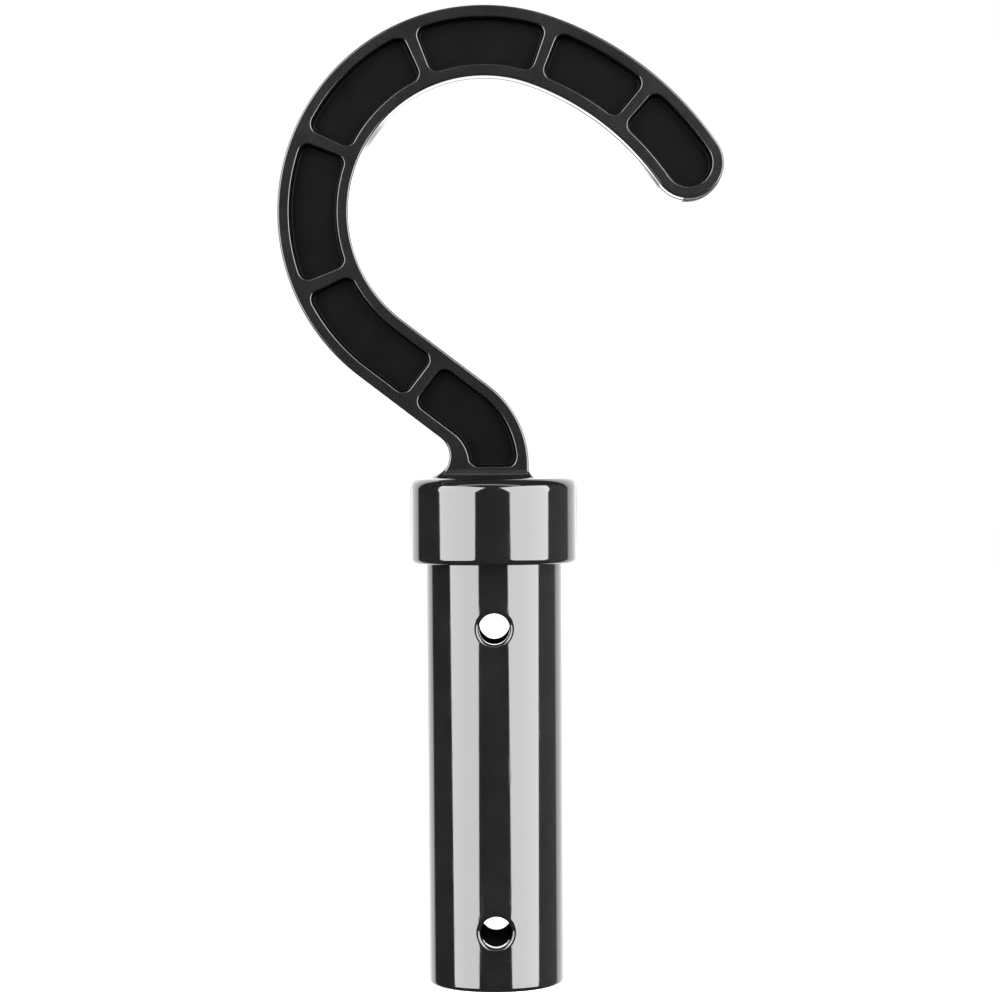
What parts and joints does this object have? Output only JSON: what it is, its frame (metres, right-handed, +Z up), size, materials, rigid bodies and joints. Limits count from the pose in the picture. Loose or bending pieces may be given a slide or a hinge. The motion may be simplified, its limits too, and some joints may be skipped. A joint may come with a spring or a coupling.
{
  "type": "pole hook",
  "caption": "Large open plastic hook on a shouldered hollow spigot, made to slide into the end of a round pole for reaching, pulling and hanging.",
  "frame": {"origin": "on the spigot's axis at the underside of the collar, where the end of the pole stops", "axes": "+Z up along the spigot's axis from its free end to the hook; the hook lies in the XZ plane with its mouth towards +X; the cross holes run along Y"},
  "size_m": [0.0936, 0.035, 0.2051],
  "materials": {
    "satin_black_plastic": "satin moulded black, smoother on the sides than on the faces",
    "gloss_black_plastic": "polished moulded black"
  },
  "bodies": {
    "root": {"hook_arm": "satin_black_plastic", "collar": "gloss_black_plastic", "spigot": "gloss_black_plastic"}
  },
  "joints": []
}
